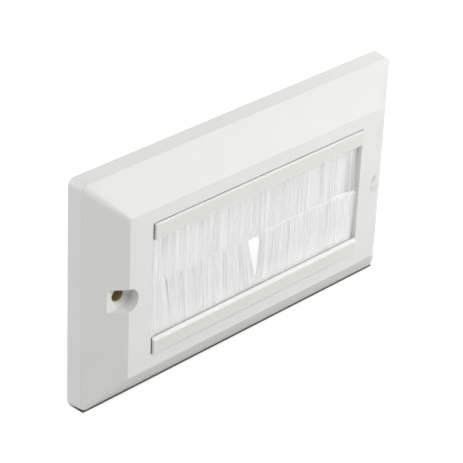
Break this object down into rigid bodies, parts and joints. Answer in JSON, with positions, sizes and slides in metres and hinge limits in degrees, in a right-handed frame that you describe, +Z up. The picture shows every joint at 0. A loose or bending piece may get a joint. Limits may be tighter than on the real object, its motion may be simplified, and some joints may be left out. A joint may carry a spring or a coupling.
{
  "type": "brush wall plate",
  "caption": "White moulded double wall plate with sloped edges, whose wide opening is closed by facing nylon brushes that part round a cable.",
  "frame": {"origin": "on the wall plane, midway between the fixing screw holes", "axes": "+X to the right as the plate is seen on the wall, +Y into the wall, +Z up; the front faces -Y"},
  "size_m": [0.146, 0.0164, 0.086],
  "materials": {
    "plate_plastic": "white urea moulding, satin gloss",
    "bar_plastic": "white ABS moulding, slightly warmer and duller than the plate",
    "channel_steel": "bright zinc-plated strip",
    "wire_steel": "drawn wire",
    "bristle_nylon": "fine white nylon filaments"
  },
  "bodies": {
    "root": {"faceplate": "plate_plastic", "upper_brush_bar": "bar_plastic", "lower_brush_bar": "bar_plastic", "upper_brush_channel": "channel_steel", "lower_brush_channel": "channel_steel", "upper_core_wire": "wire_steel", "lower_core_wire": "wire_steel", "upper_bristles": "bristle_nylon", "lower_bristles": "bristle_nylon"}
  },
  "joints": []
}
